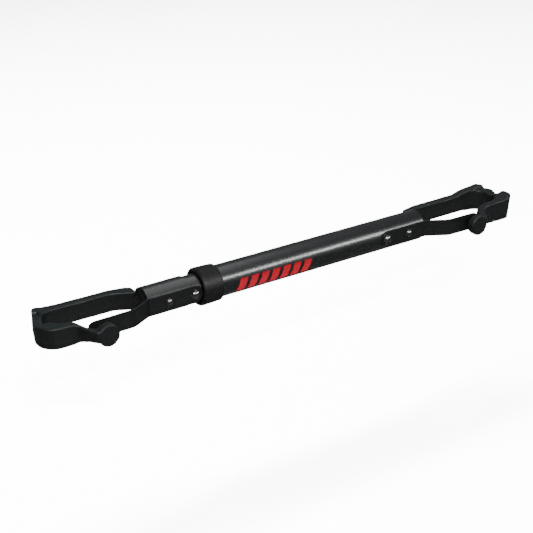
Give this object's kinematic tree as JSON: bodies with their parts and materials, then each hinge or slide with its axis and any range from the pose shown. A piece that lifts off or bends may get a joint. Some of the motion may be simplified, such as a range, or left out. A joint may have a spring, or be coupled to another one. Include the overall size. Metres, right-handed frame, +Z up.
{
  "type": "bicycle frame adapter bar",
  "caption": "Telescoping black tube with rubber-covered hooks and sprung leaf gates at both ends; spans a step-through bicycle frame so that it hangs on a vehicle bike rack.",
  "frame": {"origin": "centre of the fixed hook's round seat", "axes": "+X along the bar, from the sliding hook to the fixed hook; +Y from the gate side to the long arm side; +Z up, along the seat's axis, square to the plane of the hooks"},
  "size_m": [0.5563, 0.075, 0.0378],
  "materials": {
    "tube_paint": "satin black powder coat",
    "collar_plastic": "fine moulded texture, matt",
    "stripe_film": "printed red film",
    "wear_plastic": "smooth",
    "spring_steel": "zinc plated",
    "core_steel": "black coated steel",
    "boot_rubber": "matt moulded rubber",
    "plug_plastic": "matt black",
    "gate_steel": "satin black spring steel",
    "rivet_steel": "gloss black domed heads"
  },
  "bodies": {
    "main": {"main_tube": "tube_paint", "collar": "collar_plastic", "tube_stripes": "stripe_film", "tension_spring": "spring_steel", "fixed_hook_core": "core_steel", "fixed_hook_boot": "boot_rubber", "fixed_hook_plug": "plug_plastic", "fixed_spring_anchor": "plug_plastic", "fixed_anchor_pin": "spring_steel", "fixed_gate_root": "gate_steel", "fixed_rivet_large": "rivet_steel", "fixed_rivet_small": "rivet_steel"},
    "carriage": {"tail_guide": "wear_plastic"},
    "sliding_end": {"inner_tube": "tube_paint", "end_sleeve": "tube_paint", "tail_clips": "spring_steel", "sliding_hook_core": "core_steel", "sliding_hook_boot": "boot_rubber", "sliding_hook_plug": "plug_plastic", "sliding_spring_anchor": "plug_plastic", "sliding_anchor_pin": "spring_steel", "sliding_gate_root": "gate_steel", "sliding_rivet_large": "rivet_steel", "sliding_rivet_small": "rivet_steel"},
    "fixed_gate": {"fixed_gate_leaf": "gate_steel"},
    "sliding_gate": {"sliding_gate_leaf": "gate_steel"}
  },
  "joints": [
    {"name": "bar_slide", "type": "slide", "parent": "main", "child": "carriage", "axis": [-1, 0, 0], "range_m": [0, 0.165], "stiffness_N_per_m": 250, "springref_m": -0.1, "deforming": ["tension_spring"]},
    {"name": "hook_swivel", "type": "hinge", "parent": "carriage", "child": "sliding_end", "pos_m": [-0.41669, 0, 0], "axis": [1, 0, 0], "range_deg": [-90, 90]},
    {"name": "fixed_gate_flex", "type": "hinge", "parent": "main", "child": "fixed_gate", "pos_m": [-0.08809, -0.01503, 0], "axis": [0, 0, 1], "range_deg": [0, 36], "stiffness_Nm_per_rad": 1.2, "springref_deg": -8.59},
    {"name": "sliding_gate_flex", "type": "hinge", "parent": "sliding_end", "child": "sliding_gate", "pos_m": [-0.4178, -0.014, 0], "axis": [0, 0, -1], "range_deg": [0, 36], "stiffness_Nm_per_rad": 1.2, "springref_deg": -8.59}
  ]
}
